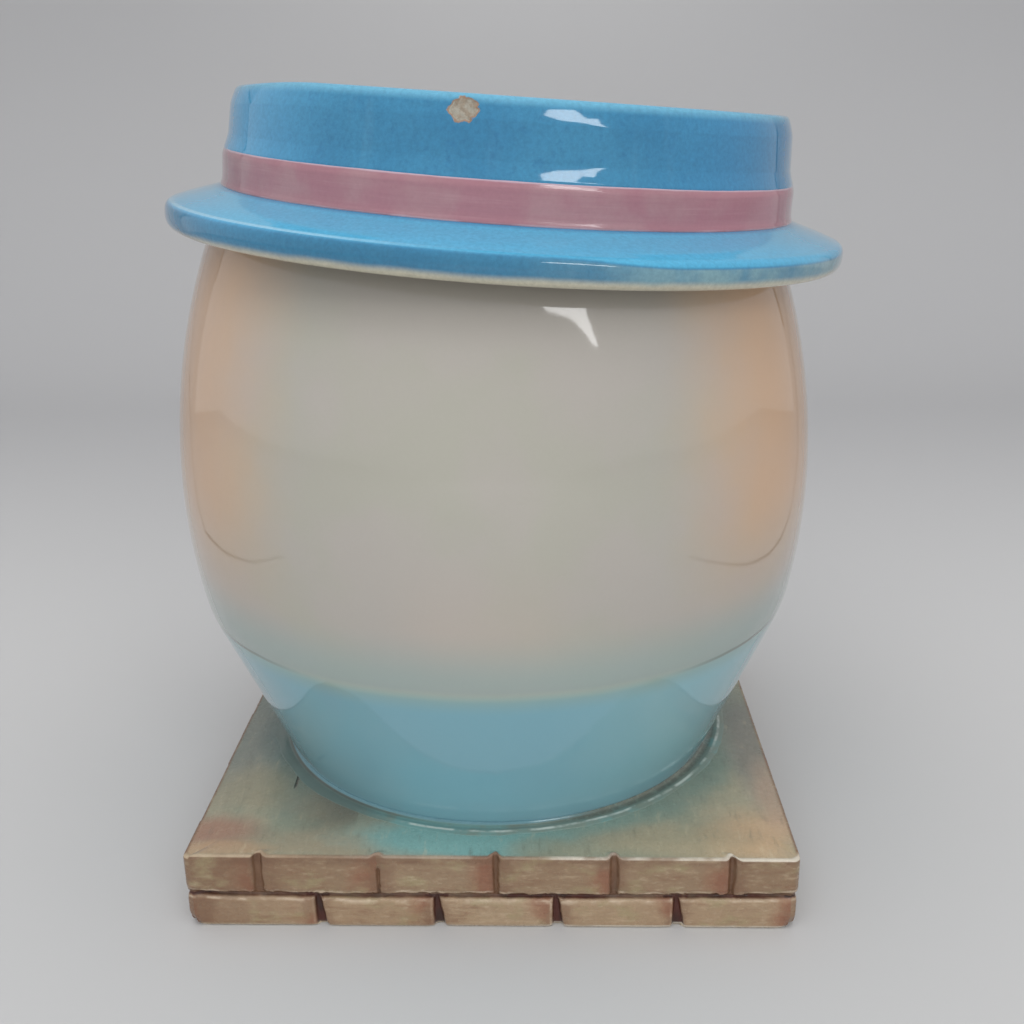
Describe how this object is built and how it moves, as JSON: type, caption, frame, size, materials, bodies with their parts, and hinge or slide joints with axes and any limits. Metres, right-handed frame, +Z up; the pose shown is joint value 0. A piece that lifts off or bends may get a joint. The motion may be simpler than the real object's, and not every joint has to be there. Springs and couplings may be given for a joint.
{
  "type": "biscuit jar",
  "caption": "Egg-shaped glazed ceramic biscuit jar on a square brick plinth, with a leaning straw-boater hat that lifts off as its lid.",
  "frame": {"origin": "on the ground, under the middle of the outer box; the jar's own axis stands 3.4 mm to -X of it, because the hat leans and its brim reaches further on the +X side", "axes": "+Z up along the jar's axis; -Y is the side in the picture; the mouth and the hat lean 4.6 degrees towards +X"},
  "size_m": [0.2246, 0.2218, 0.2545],
  "materials": {
    "brick_glaze": "brown wash and clear glaze over modelled bricks",
    "jar_glaze": "glossy clear glaze over airbrushed colour",
    "luting_glaze": "glossy clear glaze, pooled",
    "hat_glaze": "glossy clear glaze over sprayed blue",
    "band_glaze": "glossy clear glaze over brushed rose",
    "bisque": "bare fired earthenware"
  },
  "bodies": {
    "jar": {"brick_plinth": "brick_glaze", "jar_body": "jar_glaze", "foot_ring": "luting_glaze"},
    "lid": {"hat_shell": "hat_glaze", "hat_band": "band_glaze", "locating_collar": "bisque"}
  },
  "joints": [
    {"name": "lid_lift", "type": "slide", "parent": "jar", "child": "lid", "axis": [0.0802, 0, 0.9968], "range_m": [0, 0.15]}
  ]
}
